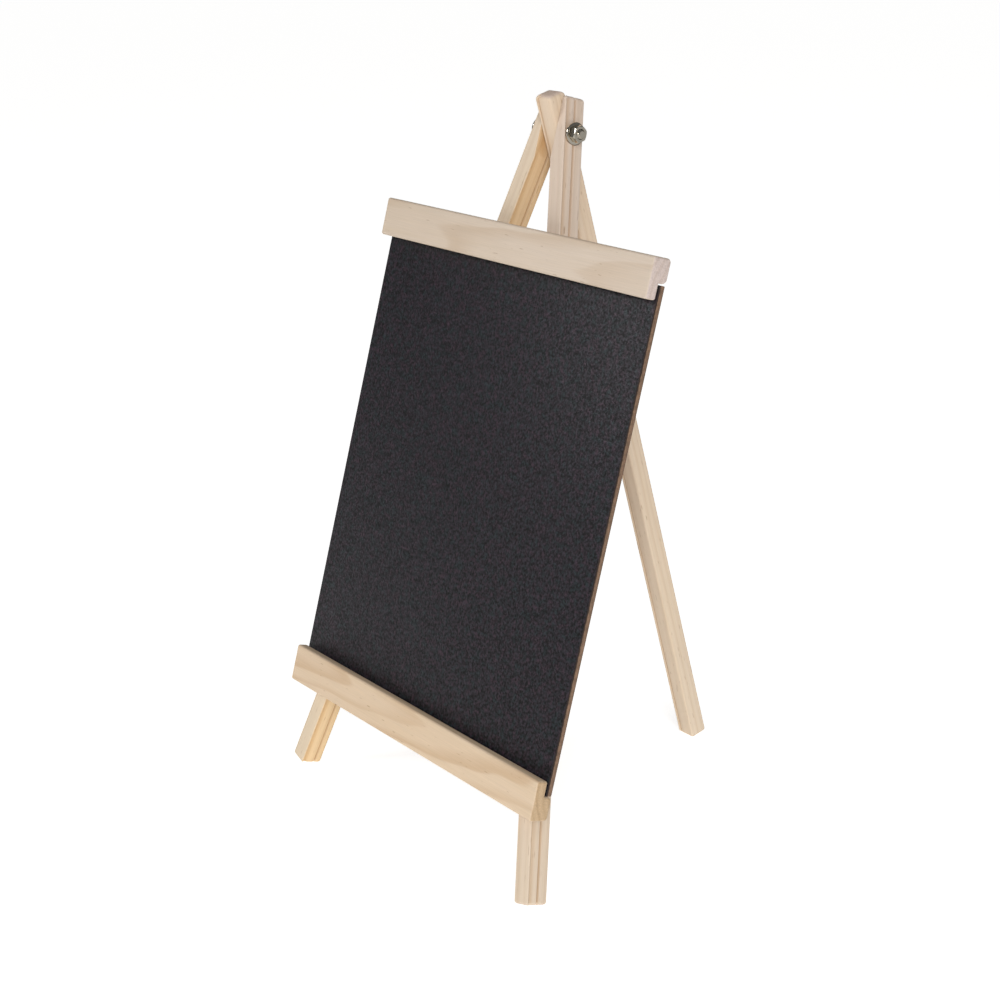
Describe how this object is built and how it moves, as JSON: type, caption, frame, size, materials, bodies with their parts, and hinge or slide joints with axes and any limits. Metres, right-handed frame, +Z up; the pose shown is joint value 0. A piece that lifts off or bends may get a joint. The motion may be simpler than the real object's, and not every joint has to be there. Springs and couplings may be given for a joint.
{
  "type": "tabletop chalkboard easel",
  "caption": "Tabletop menu chalkboard on a folding pine tripod easel: splayed front legs, slotted rails holding a black board, and a rear prop leg on a clamp bolt.",
  "frame": {"origin": "middle of the footprint's box, on the surface the easel stands on", "axes": "+Z up, -Y the way the board faces, +X the board's right-hand edge seen from in front"},
  "size_m": [0.2, 0.1862, 0.3368],
  "materials": {
    "front_legs": "planed and sanded pine, unfinished",
    "rear_leg": "planed and sanded pine, unfinished",
    "rails": "planed and sanded pine, unfinished",
    "chalkboard": "hardboard with matte black chalkboard paint on its face and raw brown edges",
    "pivot_hardware": "bright nickel-plated steel",
    "screws": "zinc-plated steel"
  },
  "bodies": {
    "front_frame": {"left_front_leg": "front_legs", "right_front_leg": "front_legs", "top_rail": "rails", "bottom_ledge": "rails", "chalkboard_panel": "chalkboard", "pivot_bolt": "pivot_hardware", "left_washer": "pivot_hardware", "right_washer": "pivot_hardware", "top_rail_screw_left": "screws", "top_rail_screw_right": "screws", "ledge_screw_left": "screws", "ledge_screw_right": "screws"},
    "rear_prop": {"rear_leg": "rear_leg"},
    "clamp_nut": {"pivot_nut": "pivot_hardware"}
  },
  "joints": [
    {"name": "rear_leg_fold", "type": "hinge", "parent": "front_frame", "child": "rear_prop", "pos_m": [0, 0.00545, 0.31847], "axis": [1, 0, 0], "range_deg": [-31, 12]},
    {"name": "clamp_nut_turn", "type": "hinge", "parent": "front_frame", "child": "clamp_nut", "pos_m": [0.0144, 0.00545, 0.31847], "axis": [1, 0, 0], "continuous": true}
  ]
}
